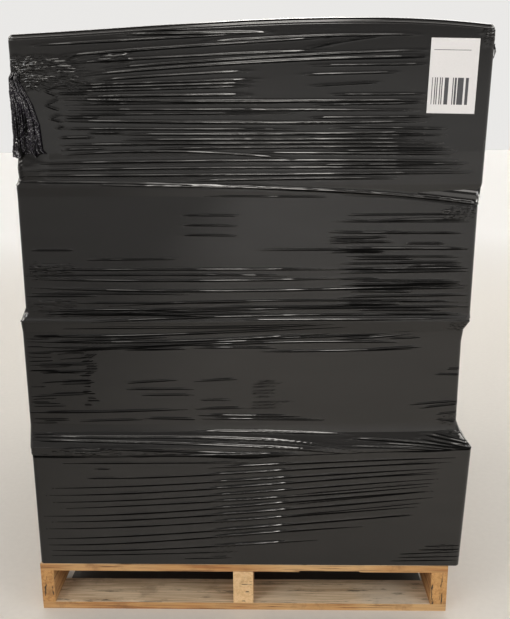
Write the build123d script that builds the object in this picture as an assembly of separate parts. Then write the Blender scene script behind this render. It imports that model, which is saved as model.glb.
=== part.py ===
from build123d import *
import os

# A loaded wooden pallet: four tiers of cartons wound in stretch film.
# Millimetres. X runs along the front face to the right, Y to the back and Z up.
# The origin is on the floor, at the centre of the pallet's footprint.

# Pallet
PALLET_WIDTH = 1016.0
PALLET_DEPTH = 1219.0
BOARD_THICKNESS = 19.0
STRINGER_HEIGHT = 89.0
STRINGER_THICKNESSES = {"left": 32.0, "centre": 50.0, "right": 40.0}
DECK_BOARD_COUNT = 7
LEAD_BOARD_WIDTH = 140.0
DECK_BOARD_WIDTH = 89.0
BOTTOM_BOARD_COUNT = 5
BOTTOM_BOARD_WIDTH = 102.0
BOTTOM_BOARD_GAP = 67.0

# A split along the front lead board's lower edge
SPLIT_START = 140.0
SPLIT_LENGTH = 150.0
SPLIT_HEIGHT = 3.0
SPLIT_DEPTH = 5.0

# Fork notches in the stringers' lower edges
NOTCH_FROM_END = 152.0
NOTCH_LENGTH = 229.0
NOTCH_HEIGHT = 38.0
NOTCH_RADIUS = 13.0

# Cartons, two across and three deep in each tier
CARTON_WIDTH = 505.0
CARTON_DEPTH = 401.0
CARTON_HEIGHT = 311.0
CARTON_CORNER_RADIUS = 10.0
LID_EDGE_RADIUS = 8.0
CARTONS_DEEP = 3
ROW_GAP = 3.0
TIER_GAP = 0.5
DECK_GAP = 0.3

# Where each tier stands, from the bottom up: its left face, the gap between its two columns,
# how far its front is behind the pallet's edge, and how far the film's pull and the weight
# above have pushed the tops of its outer faces to the left and to the right
TIERS = [
    {"left": -506.0, "column_gap": 30.0, "setback": 3.0, "push_left": 0.0, "push_right": 12.0},
    {"left": -509.5, "column_gap": 9.0, "setback": 17.0, "push_left": 0.0, "push_right": 1.0},
    {"left": -495.5, "column_gap": 10.0, "setback": 9.0, "push_left": -2.5, "push_right": 2.0},
    {"left": -481.0, "column_gap": 3.0, "setback": 6.0, "push_left": 4.5, "push_right": 6.5},
]

# The top tier's lids bulge: the crown's height above a flat lid, at shares of the tier's width
CROWN = [(0.0, 4.0), (0.32, 21.0), (0.67, 33.0), (0.86, 28.0), (1.0, 14.0)]

# Stretch film. Each joint between two tiers is bridged by film that leaves the wider tier
# at its edge and meets the narrower one this far above or below the joint
FILM_THICKNESS = 1.2
FILM_CLEARANCE = 0.4
BRIDGES = [
    {"below": 26.0, "above": 52.0},
    {"below": 28.0, "above": 20.0},
    {"below": 24.0, "above": 14.0},
]

# Label on the upper right of the front face
LABEL_WIDTH = 101.6
LABEL_HEIGHT = 152.4
LABEL_THICKNESS = 0.3
LABEL_CENTRE_X = 455.0
LABEL_CENTRE_Z = 1287.0
LABEL_TURN = 1.4

# Places that follow from the sizes above
DECK_TOP = 2 * BOARD_THICKNESS + STRINGER_HEIGHT
PALLET_FRONT = -PALLET_DEPTH / 2
TIER_PITCH = CARTON_HEIGHT + TIER_GAP
TIER_DEPTH = CARTONS_DEEP * CARTON_DEPTH + (CARTONS_DEEP - 1) * ROW_GAP
LOAD_BASE = DECK_TOP + DECK_GAP
LID_TOP = LOAD_BASE + (len(TIERS) - 1) * TIER_PITCH + CARTON_HEIGHT


def board(width, y_front, z_bottom):
    """A board across the stringers, its front edge at y_front."""
    size = Align.CENTER, Align.MIN, Align.MIN
    return Pos(0, y_front, z_bottom) * Box(PALLET_WIDTH, width, BOARD_THICKNESS, align=size)


def deck_boards():
    """Wide lead boards front and back, and narrower ones evenly spaced between them."""
    widths = [LEAD_BOARD_WIDTH] + [DECK_BOARD_WIDTH] * (DECK_BOARD_COUNT - 2) + [LEAD_BOARD_WIDTH]
    gap = (PALLET_DEPTH - sum(widths)) / (DECK_BOARD_COUNT - 1)
    boards = []
    y = PALLET_FRONT
    for width in widths:
        boards.append(board(width, y, DECK_TOP - BOARD_THICKNESS))
        y += width + gap
    size = Align.MIN, Align.MIN, Align.MIN
    split = Box(SPLIT_LENGTH, SPLIT_DEPTH, SPLIT_HEIGHT, align=size)
    boards[0] -= Pos(SPLIT_START, PALLET_FRONT, DECK_TOP - BOARD_THICKNESS) * split
    return boards


def bottom_boards():
    """One board at each end, and a group of boards at the middle that leaves the notches free."""
    inner = BOTTOM_BOARD_COUNT - 2
    pitch = BOTTOM_BOARD_WIDTH + BOTTOM_BOARD_GAP
    starts = [(i - (inner - 1) / 2) * pitch - BOTTOM_BOARD_WIDTH / 2 for i in range(inner)]
    starts = [PALLET_FRONT] + starts + [-PALLET_FRONT - BOTTOM_BOARD_WIDTH]
    return [board(BOTTOM_BOARD_WIDTH, y, 0) for y in starts]


def stringer(x_left, thickness):
    """A runner on edge from front to back, with a round-cornered notch near each end."""
    middle = Align.MIN, Align.CENTER, Align.MIN
    beam = Pos(x_left, 0, BOARD_THICKNESS) * Box(thickness, PALLET_DEPTH, STRINGER_HEIGHT, align=middle)
    cutter = Box(thickness, NOTCH_LENGTH, 2 * NOTCH_HEIGHT, align=(Align.MIN, Align.CENTER, Align.CENTER))
    cutter = fillet(cutter.edges().filter_by(Axis.X), NOTCH_RADIUS)
    y_notch = PALLET_DEPTH / 2 - NOTCH_FROM_END - NOTCH_LENGTH / 2
    for y in (-y_notch, y_notch):
        beam -= Pos(x_left, y, BOARD_THICKNESS) * cutter
    return beam


def stringers():
    """The outer stringers stand flush with the boards' ends, and the third at the middle."""
    half = PALLET_WIDTH / 2
    lefts = {
        "left": -half,
        "centre": -STRINGER_THICKNESSES["centre"] / 2,
        "right": half - STRINGER_THICKNESSES["right"],
    }
    return {name: stringer(lefts[name], t) for name, t in STRINGER_THICKNESSES.items()}


def tier_base(index):
    return LOAD_BASE + index * TIER_PITCH


def tier_walls(index, z):
    """Left, right, front and back faces of a tier's cartons at height z."""
    tier = TIERS[index]
    share = (z - tier_base(index)) / CARTON_HEIGHT
    left = tier["left"] - tier["push_left"] * share
    right = tier["left"] + 2 * CARTON_WIDTH + tier["column_gap"] + tier["push_right"] * share
    front = PALLET_FRONT + tier["setback"]
    return left, right, front, front + TIER_DEPTH


def outermost(lower, upper):
    """The wall that the film rests on at a joint between two tiers, side by side."""
    return (
        min(lower[0], upper[0]),
        max(lower[1], upper[1]),
        min(lower[2], upper[2]),
        max(lower[3], upper[3]),
    )


def film_levels():
    """Heights at which the film changes slope, with the cartons' walls it spans there."""
    levels = [(DECK_TOP, tier_walls(0, DECK_TOP))]
    for i, bridge in enumerate(BRIDGES):
        joint = tier_base(i + 1)
        low, high = joint - bridge["below"], joint + bridge["above"]
        levels.append((low, tier_walls(i, low)))
        levels.append((joint, outermost(tier_walls(i, joint), tier_walls(i + 1, joint))))
        levels.append((high, tier_walls(i + 1, high)))
    top = LID_TOP + max(height for _, height in CROWN) + CARTON_CORNER_RADIUS
    levels.append((top, tier_walls(len(TIERS) - 1, top)))
    return levels


def above_crown(raise_by):
    """The space over the bulging lids' line, from front to back, raised by a film's wall."""
    left, right, _, _ = tier_walls(len(TIERS) - 1, LID_TOP)
    span = right - left + 2 * CARTON_CORNER_RADIUS
    points = [
        (left - CARTON_CORNER_RADIUS + share * span, LID_TOP + height + raise_by)
        for share, height in CROWN
    ]
    high = LID_TOP + CARTON_HEIGHT
    sides = Polyline(points[-1], (points[-1][0], high), (points[0][0], high), points[0])
    profile = Plane.XZ * make_face([Spline(*points), sides])
    return extrude(Pos(0, PALLET_DEPTH, 0) * profile, 2 * PALLET_DEPTH)


def wrapped_form(levels, clear):
    """A round-cornered body that stands this far off the walls given at each height."""
    sections = []
    for z, (left, right, front, back) in levels:
        outline = RectangleRounded(
            right - left + 2 * clear, back - front + 2 * clear, CARTON_CORNER_RADIUS + clear
        )
        sections.append(Pos((left + right) / 2, (front + back) / 2, z) * outline)
    return loft(sections, ruled=True)


def crowned(body, clear):
    """The body cut off at the bulging lids, with the edge all round rounded."""
    body -= above_crown(clear)
    lid = body.faces().sort_by(Axis.Z)[-1]
    return fillet(lid.outer_wire().edges(), LID_EDGE_RADIUS + clear)


def stretch_film():
    """One skin round the cartons and over the top, open where it meets the deck."""
    levels = film_levels()
    inner = crowned(wrapped_form(levels, FILM_CLEARANCE), FILM_CLEARANCE)
    wall = FILM_CLEARANCE + FILM_THICKNESS
    return crowned(wrapped_form(levels, wall), wall) - inner


def carton_tier(index):
    """Six closed cartons, their outer corners rounded by the film."""
    tier = TIERS[index]
    is_top = index == len(TIERS) - 1
    z_low, z_high = tier_base(index), tier_base(index) + CARTON_HEIGHT
    if is_top:
        z_high = film_levels()[-1][0]
    block = wrapped_form([(z, tier_walls(index, z)) for z in (z_low, z_high)], 0)
    if is_top:
        block = crowned(block, 0)

    share = (z_high - z_low) / CARTON_HEIGHT
    x_gap = tier["left"] + CARTON_WIDTH
    seam = Polyline(
        (x_gap, z_low),
        (x_gap + tier["column_gap"], z_low),
        (x_gap + tier["column_gap"] + tier["push_right"] * share, z_high),
        (x_gap - tier["push_left"] * share, z_high),
        (x_gap, z_low),
    )
    profile = Plane.XZ * make_face(seam)
    block -= extrude(Pos(0, PALLET_DEPTH, 0) * profile, 2 * PALLET_DEPTH)
    for row in range(1, CARTONS_DEEP):
        y_gap = PALLET_FRONT + tier["setback"] + row * (CARTON_DEPTH + ROW_GAP) - ROW_GAP / 2
        block -= Pos(0, y_gap, z_low) * Box(2 * PALLET_WIDTH, ROW_GAP, 3 * CARTON_HEIGHT)
    return block


def label():
    """A paper label stuck flat on the film."""
    _, _, front, _ = tier_walls(len(TIERS) - 1, LABEL_CENTRE_Z)
    y = front - FILM_CLEARANCE - FILM_THICKNESS - LABEL_THICKNESS / 2
    place = Pos(LABEL_CENTRE_X, y, LABEL_CENTRE_Z) * Rot(0, LABEL_TURN, 0)
    return place * Box(LABEL_WIDTH, LABEL_THICKNESS, LABEL_HEIGHT)


def pieces():
    """Every node's name and shape."""
    nodes = {}
    for name, shape in stringers().items():
        nodes[f"stringer_{name}"] = shape
    for i, shape in enumerate(deck_boards()):
        nodes[f"deck_board_{i + 1}"] = shape
    for i, shape in enumerate(bottom_boards()):
        nodes[f"bottom_board_{i + 1}"] = shape
    for i in range(len(TIERS)):
        nodes[f"cartons_tier_{i + 1}"] = carton_tier(i)
    nodes["stretch_film"] = stretch_film()
    nodes["label"] = label()
    return nodes


os.makedirs("parts", exist_ok=True)
for node, shape in pieces().items():
    export_step(shape, f"parts/{node}.step")
    box = shape.bounding_box()
    print(node, [round(v, 1) for v in (*box.min, *box.max)], "solids", len(shape.solids()))
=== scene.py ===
import math
from typing import NamedTuple

import bpy
import numpy as np
from mathutils import Matrix, Vector
from mathutils.bvhtree import BVHTree


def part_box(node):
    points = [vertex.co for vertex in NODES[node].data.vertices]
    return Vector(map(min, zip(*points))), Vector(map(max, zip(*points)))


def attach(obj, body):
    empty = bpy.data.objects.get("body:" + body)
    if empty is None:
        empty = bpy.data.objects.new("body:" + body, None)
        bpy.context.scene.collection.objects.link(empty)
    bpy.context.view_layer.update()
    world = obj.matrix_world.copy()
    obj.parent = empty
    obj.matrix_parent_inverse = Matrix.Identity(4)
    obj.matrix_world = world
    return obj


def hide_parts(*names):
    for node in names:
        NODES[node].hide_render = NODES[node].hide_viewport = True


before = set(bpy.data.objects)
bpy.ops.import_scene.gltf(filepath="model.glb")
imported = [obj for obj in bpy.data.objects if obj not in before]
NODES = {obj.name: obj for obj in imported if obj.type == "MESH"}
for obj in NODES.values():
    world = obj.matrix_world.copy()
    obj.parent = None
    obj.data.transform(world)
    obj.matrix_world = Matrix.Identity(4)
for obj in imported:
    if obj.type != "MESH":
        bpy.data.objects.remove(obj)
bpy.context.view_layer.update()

# A pallet load wound in black stretch film. Metres. X runs along the front face to the
# right, Y to the back and Z up, with the origin on the floor at the pallet's centre.
MM = 0.001
FAR = 1.0

# Camera
CAMERA_PLACE = (0.0706, -2.2742, 1.1961)
CAMERA_LENS = 43.83
CAMERA_SENSOR = 36.0
CAMERA_DOWN = 13.98
CAMERA_LEFT = 1.26
CAMERA_ROLL = -0.37

# Film: its walls and corners, the lip that a lower edge stands off with, how an upper edge
#  goes on, tucked in, under the next wind, and how far painted shadow reaches under that edge
FILM_WALL = 1.0 * MM
FLAP_WALL = 0.5 * MM
CORNER_RADIUS = 11.6 * MM
LID_EDGE_RADIUS = 9.6 * MM
WALL_TOP = 1350 * MM
LIP = 1.2 * MM
LIP_EASE = 14 * MM
OVERLAP = 14 * MM
TUCK = 0.6 * MM
TUCK_EASE = 6 * MM
EDGE_SHADOW_REACH = 7.5 * MM

# Grids: columns along the wide and the deep sides, how much closer they lie near the corners,
# and the height of rows, which steep film pulls closer together
CORNER_STEPS = 4
WIND_COLUMNS = (112, 46)
WIND_END_DENSITY = 0.7
LID_COLUMNS = (170, 170)
LID_END_DENSITY = 0.15
ROW_HEIGHT = 1.25 * MM
FINE_ROW_HEIGHT = 0.45 * MM
ROW_PULL = 5.0
INNER_ROWS = 10

# Folds: their steeper lower flank, the painted shade line at its foot, the stretch of the front
#  where they stand higher, and ranges of width and height
FOLD_SKEW = 0.5
SHADE_LINE_SHARE = 0.88
CREST_MIDDLE = 20 * MM
CREST_REACH = 84 * MM
SHORTEST_FOLD = 20 * MM
FINE = (1.6 * MM, 2.4 * MM)
BROAD = (2.2 * MM, 3.0 * MM)
FLAT = (0.5 * MM, 1.1 * MM)
TALL = (1.0 * MM, 1.8 * MM)

# Places along the film's run, which is X on the front and grows to the right round the load:
# the four corners, the other sides with how far their folds slope, and the corners that folds
# fan out from, with the ways they go
RUN_CORNERS = (-0.51, 0.53, 1.75, 2.79)
OTHER_SIDES = (((0.54, 1.76), -0.7), ((1.76, 2.8), 0.8), ((-1.74, -0.52), 0.6))
FAN_CORNERS = ((0.545, (1,)), (1.76, (-1, 1)), (2.8, (-1, 1)), (-0.525, (-1,)))

# Lower edge of each wind after the first, as (along the film, height) round the load.
WIND_EDGES = {
    2: [(-1.7, 432), (-0.5, 420), (-0.33, 417), (-0.2, 421), (0.03, 419), (0.26, 430), (0.5, 440),
        (1.7, 436), (2.2, 430)],
    3: [(-1.7, 752), (-0.5, 750), (-0.1, 745), (0.3, 753), (0.5, 757), (1.7, 750), (2.2, 747)],
    4: [(-1.7, 1058), (-0.5, 1063), (-0.295, 1061), (0.03, 1053), (0.353, 1036), (0.53, 1016),
        (0.9, 1030), (1.7, 1046), (2.2, 1052)],
}


class Wind(NamedTuple):
    """What sets one wind of film apart from the others: the height of its tier's middle, how far
    its run swings up and down round the load, the front folds' shares of their listed widths and
    heights and how much higher they stand near the middle, and on the other sides the slope of
    the folds, the groups of long ones, and how far crushed film reaches up from the edge."""

    middle: float
    lean: float
    fold_width: float
    fold_height: float
    crest: float
    slope: float
    groups: int
    ledge: float


WINDS = {
    1: Wind(0.28, 38 * MM, 1.15, 0.68, 1.6, 0.045, 2, 28 * MM),
    2: Wind(0.6, -8 * MM, 0.85, 0.65, 0.4, -0.02, 2, 64 * MM),
    3: Wind(0.9, 3 * MM, 0.8, 0.58, 0.3, 0.0, 2, 28 * MM),
    4: Wind(1.25, 6 * MM, 0.8, 0.62, 0.3, 0.02, 3, 28 * MM),
}
FIRST_WIND, TICKED_WIND, LAST_WIND = 1, 2, 4

# Long folds on the front of each wind, in millimetres: width, height and the points (X, Z)
# that they pass.
FRONT_FOLDS = {
    1: [
        (2.6, 1.6, (-101, 388), (235, 407), (508, 419)),
        (2.8, 1.8, (-369, 361), (-126, 369), (235, 393), (476, 404)),
        (2.8, 1.9, (-468, 335), (-126, 349), (236, 375), (481, 391)),
        (2.8, 2, (-482, 316), (-127, 331), (236, 362), (467, 382)),
        (2.6, 1.8, (-471, 297), (-127, 313), (236, 344), (475, 364)),
        (2.6, 1.8, (-448, 280), (-128, 297), (237, 324), (457, 345)),
        (3, 2.1, (-493, 260), (-128, 277), (237, 312), (465, 332)),
        (3, 2.1, (-475, 244), (-129, 260), (237, 293), (475, 316)),
        (2.8, 2, (-489, 225), (-129, 241), (238, 273), (443, 291)),
        (3, 2.2, (-491, 198), (-130, 217), (238, 251), (430, 268)),
        (3, 2.2, (-492, 181), (-130, 199), (141, 224), (304, 236)),
        (2.8, 2, (-480, 166), (-131, 175), (67, 189), (203, 199)),
        (2.2, 1.5, (-482, 151), (-131, 160), (-7, 165)),
        (2.2, 1.6, (-144, 144), (-27, 148)),
        (2, 1.3, (448, 182), (539, 185)),
        (2, 1.3, (436, 172), (542, 175)),
        (2, 1.3, (388, 160), (542, 168)),
        (2, 1.3, (388, 151), (543, 155)),
        (2, 1.3, (364, 141), (541, 145)),
        (2, 1.2, (-355, 386), (-319, 386)),
        (2, 1.2, (-374, 361), (-296, 362)),
        (2.2, 1.4, (-439, 400), (20, 404)),
        (1.7, 1, (110, 385), (300, 397), (500, 407)),
        (1.7, 1, (128, 352), (300, 366), (478, 377)),
        (1.7, 1, (112, 318), (300, 337), (470, 353)),
        (1.7, 1, (104, 292), (280, 311), (460, 331)),
        (1.7, 1, (112, 264), (300, 284), (442, 300)),
        (1.7, 1, (120, 240), (300, 257), (424, 269)),
    ],
    2: [
        (3, 2.2, (-420, 734), (-140, 736), (114, 741), (229, 748)),
        (3, 2.4, (-503, 715), (-281, 715), (22, 727), (252, 739)),
        (3, 2.4, (-504, 703), (-118, 703), (68, 712), (207, 722)),
        (2.6, 1.8, (-493, 691), (-306, 688), (-95, 698), (103, 703)),
        (2.2, 1.4, (-506, 676), (-329, 682), (-142, 693)),
        (2.2, 1.4, (-497, 644), (-331, 649)),
        (2.2, 1.4, (-475, 627), (-332, 630)),
        (2.2, 1.4, (-434, 604), (-357, 606)),
        (2.2, 1.4, (-429, 597), (-353, 599)),
        (2.2, 1.4, (-503, 566), (-359, 572)),
        (2.4, 1.5, (-275, 599), (-144, 608)),
        (2.4, 1.5, (-275, 584), (-109, 585)),
        (2.4, 1.5, (-240, 569), (-110, 571)),
        (2.8, 2, (-531, 526), (-338, 527), (-123, 535)),
        (3, 2.6, (-231, 511), (-104, 509)),
        (2.4, 1.5, (-388, 503), (-231, 508)),
        (2.4, 1.6, (-109, 604), (-7, 610)),
        (2.2, 1.4, (-103, 557), (-22, 558)),
        (2.6, 1.8, (-111, 535), (8, 538)),
        (2.8, 2, (-111, 519), (139, 517)),
        (2.8, 2, (-99, 510), (210, 508)),
        (2.6, 1.8, (-112, 478), (68, 477), (247, 472)),
        (2.8, 2.2, (-511, 467), (-149, 464), (44, 458), (260, 432)),
        (2.8, 2.2, (-512, 458), (-149, 449), (68, 440), (260, 425)),
        (2.8, 2.2, (-367, 438), (-150, 431), (140, 424)),
        (3, 2.4, (-527, 422), (-223, 418), (-5, 424), (212, 412)),
        (4.6, 1.4, (402, 466), (465, 453), (533, 438)),
        (4.6, 1.4, (420, 475), (478, 461), (535, 446)),
        (3.4, 1.1, (446, 479), (482, 468), (526, 455)),
        (2.4, 1.5, (240, 462), (400, 452), (541, 434)),
        (2.4, 1.5, (300, 452), (420, 444), (541, 429)),
        (2.4, 1.6, (393, 546), (520, 557)),
        (2.4, 1.6, (422, 538), (520, 550)),
        (2, 1.4, (453, 622), (516, 621)),
        (2, 1.4, (480, 635), (515, 636)),
        (2, 1.4, (463, 523), (517, 528)),
        (2, 1.4, (461, 510), (513, 505)),
        (2.2, 1.6, (211, 445), (427, 438), (537, 431)),
        (2.2, 1.6, (247, 463), (378, 456), (510, 441)),
        (1.4, 0.6, (36, 604), (82, 605)),
        (1.4, 0.6, (21, 597), (104, 600)),
        (1.4, 0.6, (24, 589), (84, 592)),
        (1.4, 0.6, (24, 580), (88, 583)),
        (1.4, 0.6, (22, 573), (84, 575)),
        (1.4, 0.6, (28, 565), (80, 566)),
        (1.4, 0.6, (16, 551), (130, 554)),
        (1.4, 0.6, (20, 544), (96, 546)),
        (1.4, 0.6, (14, 536), (92, 538)),
    ],
    3: [
        (2.2, 1.4, (-473, 918), (-371, 918)),
        (2.2, 1.5, (-350, 896), (-135, 897)),
        (2.6, 1.8, (-477, 873), (23, 873), (248, 873)),
        (2.4, 1.5, (-501, 860), (-318, 861), (136, 858)),
        (2.8, 2, (-479, 852), (-113, 847), (249, 853)),
        (3, 2.2, (-480, 833), (-91, 823), (249, 828), (519, 837)),
        (2.2, 1.4, (-481, 819), (-114, 816)),
        (2.2, 1.4, (-493, 812), (-321, 812)),
        (2.6, 1.7, (-322, 788), (45, 800), (522, 797)),
        (2.4, 1.5, (-369, 766), (-92, 776), (250, 785), (522, 786)),
        (3, 2.2, (-347, 750), (22, 764), (523, 767)),
        (2.6, 1.8, (-1, 755), (251, 756), (524, 757)),
        (2.4, 1.5, (35, 918), (247, 918), (514, 921)),
        (2.4, 1.6, (201, 981), (510, 980)),
        (2.2, 1.4, (313, 955), (501, 954)),
        (3, 2.2, (225, 921), (514, 919)),
        (2.2, 1.3, (236, 903), (504, 901)),
        (2.4, 1.5, (226, 886), (405, 887)),
        (3, 2.2, (226, 873), (517, 876)),
        (2.6, 1.8, (226, 865), (517, 869)),
        (2.2, 1.3, (226, 850), (316, 853)),
        (2.6, 1.8, (227, 837), (496, 841)),
        (2.8, 2, (227, 826), (508, 831)),
        (2.8, 1.8, (227, 809), (521, 814)),
        (2.2, 1.4, (363, 798), (476, 799)),
        (2.4, 1.5, (228, 785), (522, 787)),
        (2, 1.2, (223, 995), (509, 996)),
        (2, 1.2, (-86, 1038), (201, 1035)),
        (2, 1.2, (-132, 996), (2, 994)),
        (2, 1.2, (-132, 974), (-3, 971)),
        (2, 1.2, (-133, 952), (1, 949)),
    ],
    4: [
        (2.5, 1.6, (-438, 1355), (-204, 1365), (27, 1375)),
        (3, 2, (-376, 1334), (-78, 1352), (194, 1367)),
        (2.5, 1.5, (-377, 1318), (-79, 1332), (195, 1341)),
        (3, 2, (-346, 1293), (27, 1317), (404, 1328)),
        (2.5, 1.8, (-292, 1307), (48, 1327), (404, 1340)),
        (2, 1.2, (140, 1342), (226, 1359), (303, 1368)),
        (2.5, 1.6, (-78, 1358), (132, 1368), (382, 1370)),
        (2.2, 1.4, (-397, 1273), (-187, 1278), (52, 1284)),
        (2.2, 1.5, (-391, 1261), (-166, 1265), (37, 1270)),
        (3, 2.4, (-382, 1246), (-81, 1239), (133, 1238), (409, 1239)),
        (2, 1.2, (-383, 1234), (-124, 1236), (133, 1235)),
        (2.5, 1.6, (-379, 1224), (410, 1218)),
        (2, 1.2, (-388, 1213), (133, 1214)),
        (3, 2.4, (-385, 1201), (-71, 1195), (133, 1193), (411, 1196)),
        (2.5, 1.6, (-382, 1184), (133, 1179)),
        (3, 2.2, (-256, 1172), (101, 1170), (412, 1173)),
        (2.8, 2, (-257, 1160), (413, 1158)),
        (2.8, 2.2, (-388, 1150), (-72, 1151), (134, 1151), (445, 1149)),
        (2.8, 2, (-192, 1140), (47, 1142), (457, 1141)),
        (2.6, 1.8, (-379, 1129), (-51, 1131), (134, 1115)),
        (2.6, 1.8, (25, 1131), (468, 1126)),
        (3, 2, (-457, 1110), (25, 1114), (480, 1111)),
        (2.6, 1.8, (-481, 1095), (3, 1099), (491, 1096)),
        (3, 2.2, (-481, 1084), (3, 1084), (520, 1087)),
        (3, 2.2, (-107, 1071), (47, 1074), (352, 1075)),
        (2.4, 1.5, (-489, 1071), (-129, 1065)),
        (2.2, 1.4, (141, 1322), (405, 1326)),
        (2.2, 1.4, (153, 1310), (405, 1312)),
        (2.2, 1.4, (132, 1292), (343, 1296)),
        (2, 1.2, (154, 1269), (302, 1276)),
        (2.2, 1.4, (196, 1251), (408, 1251)),
        (2, 1.3, (154, 1230), (399, 1233)),
        (2.4, 1.5, (144, 1204), (432, 1204)),
        (2.4, 1.5, (198, 1184), (454, 1179)),
        (2, 1.3, (155, 1166), (451, 1166)),
        (2.2, 1.4, (177, 1134), (468, 1135)),
        (2.5, 1.6, (134, 1104), (502, 1105)),
        (3, 2.2, (-246, 1383), (-98, 1385)),
        (3, 2.2, (-246, 1376), (69, 1377)),
        (2.4, 1.6, (-412, 1262), (-384, 1274)),
        (2.4, 1.6, (-412, 1262), (-386, 1251)),
        (2.4, 1.6, (-414, 1233), (-384, 1246)),
        (2.4, 1.6, (-414, 1233), (-386, 1223)),
        (2.4, 1.6, (-406, 1206), (-384, 1214)),
        (2.4, 1.6, (-406, 1206), (-382, 1198)),
        (2.2, 1.5, (-392, 1184), (-376, 1190)),
        (2.4, 1.5, (-360, 1268), (-120, 1273), (45, 1277)),
        (3, 2, (-330, 1250), (-82, 1252), (40, 1252)),
        (2.6, 1.7, (-300, 1284), (-120, 1294), (30, 1300)),
        (2.4, 1.6, (-386, 1165), (-316, 1166)),
        (2.4, 1.6, (-325, 1175), (-250, 1174)),
        (2.2, 1.4, (-384, 1256), (-318, 1257)),
        (2.2, 1.4, (-380, 1140), (-290, 1141)),
        (2.2, 1.4, (-372, 1207), (-296, 1207)),
    ],
}

# Crushed patches on the front of each wind, in millimetres: area (left, right, bottom, top),
# length and height of the creases, how far they stand out, and the seed.
CRUSHED_PATCHES = {
    1: [((470, 530, 150, 200), (9, 7), 1.0, 41)],
    2: [
        ((460, 530, 728, 760), (8, 6), 2.6, 31),
        ((450, 540, 450, 530), (14, 6), 1.4, 33),
        ((-140, 50, 450, 465), (22, 4), 1.8, 34),
        ((-500, -100, 418, 440), (36, 9), 2.4, 35),
    ],
    3: [
        ((-490, -350, 840, 895), (26, 6), 1.8, 21),
        ((440, 530, 975, 1030), (10, 8), 1.8, 22),
        ((-500, -360, 760, 810), (40, 6), 2.0, 23),
    ],
    4: [
        ((-510, -310, 1258, 1340), (8, 5), 3.0, 11),
        ((-410, -320, 1268, 1325), (4, 9), 2.6, 15),
        ((-300, -220, 1318, 1342), (9, 5), 2.4, 12),
        ((500, 560, 1340, 1400), (6, 6), 2.2, 13),
        ((-515, -470, 1060, 1125), (7, 5), 2.4, 14),
    ],
}

# Short folds scattered over the front of the middle winds, in millimetres: area, how many, and
# the ranges of length, slope, width and height.
SHORT_FOLDS = {
    2: [
        ((-500, -360, 450, 720), 34, (60, 130), (-0.01, 0.05), (1.3, 2.0), (0.3, 0.6)),
        ((-450, 420, 672, 735), 12, (120, 400), (0.0, 0.05), (1.6, 2.4), (0.8, 1.5)),
    ],
    3: [
        ((200, 500, 770, 990), 22, (80, 260), (-0.01, 0.01), (1.6, 2.4), (0.7, 1.3)),
        ((-450, 500, 757, 800), 10, (150, 500), (-0.01, 0.02), (1.6, 2.4), (0.7, 1.3)),
    ],
}
SHORT_FOLD_SEEDS = {2: 32, 3: 24}

# Lid: the level of the walls that it continues, its skirt and edge, how many folds fan out from
# each corner and how many run from side to side, the edges of overlapping film (place on Y and
# slope), and the gaps between cartons
LID_LEVEL = 1.3
LID_SKIRT = 16 * MM
LID_SKIRT_ROWS = 6
LID_EDGE_ROWS = 6
LID_FAN_FOLDS = 9
LID_LONG_FOLDS = 34
LID_OVERLAPS = ((-0.31, 0.02), (-0.04, -0.03), (0.26, 0.02))
LID_STEP = 0.9 * MM
GAP_ALONG = 26 * MM
GAPS_ACROSS = (-0.2, 0.2)

# Gathered tail: its rows and columns, neck, foot and left edge, and its right edge as (height, X)
TAIL_GRID = (170, 100)
TAIL_TOP = 1.302
TAIL_FOOT = 1.120
TAIL_LEFT = -0.508
TAIL_RIGHT = (
    (1.12, -0.418), (1.14, -0.4255), (1.192, -0.429), (1.234, -0.441), (1.272, -0.460),
    (1.286, -0.4665), (1.302, -0.463),
)

# Loose end at the top right edge: its rows and columns, upper edge, height, place and width
END_GRID = (24, 14)
END_TOP = 1.352
END_HEIGHT = 26 * MM
END_PLACE = 0.541
END_WIDTH = 24 * MM

# Label: its centre and turn, the half size of the flat film under it, and its plain print
LABEL_CENTRE = (455 * MM, 0.0, 1287 * MM)
LABEL_TURN = math.radians(1.4)
LABEL_FLAT = (53 * MM, 79 * MM)
LABEL_MARGIN = 8 * MM
BAR_STEP = 2.1 * MM
BAR_FIELD = (-43.5 * MM, 34 * MM, -58 * MM, -3 * MM)
RULE_HEIGHTS = (52 * MM, 53.2 * MM)

# Nail heads: radius, thickness and sides, how far they stand out of the upper and the lower
# boards, and a pair's places as shares of the board's depth and the stringer's width
NAIL_HEAD = 4.5 * MM
NAIL_THICK = 1.6 * MM
NAIL_SIDES = 14
NAIL_PROUD = 0.15 * MM
NAIL_FLUSH = 0.02 * MM
NAIL_PAIR = ((0.25, -0.12), (0.75, 0.12))

# Tones
FILM_TINTS = ((0.007, 0.007, 0.0075), (0.012, 0.0105, 0.009))
BUNCHED_TINTS = ((0.006, 0.004, 0.009), (0.011, 0.008, 0.014))
# Painted shade in the film's creases
CREASE_SHADE_TONE = (0.0005, 0.0005, 0.0005)
ORANGE_WOOD = ((0.60, 0.33, 0.12), (0.36, 0.165, 0.05))
PALE_WOOD = ((0.80, 0.56, 0.31), (0.64, 0.40, 0.19))
STRINGER_WOODS = {
    "stringer_left": ORANGE_WOOD,
    "stringer_centre": PALE_WOOD,
    "stringer_right": ((0.64, 0.36, 0.135), (0.42, 0.205, 0.065)),
}
SAWN_WOOD = ((0.51, 0.285, 0.11), (0.38, 0.16, 0.05))
SAWN_PALE = (0.57, 0.35, 0.155)
SAWN_DIRT = (0.20, 0.09, 0.035)
SAWN_FIBRES = (0.19, 0.09, 0.035)
END_DIRT = (0.22, 0.11, 0.045)
END_CRACKS = (0.05, 0.03, 0.015)
WEATHERED_WOOD = ((0.80, 0.62, 0.42), (0.50, 0.35, 0.21))
WEATHERED_GREY = (0.64, 0.53, 0.40)
WEATHERED_DIRT = (0.24, 0.16, 0.095)
MOULD = (0.06, 0.05, 0.034)
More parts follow.
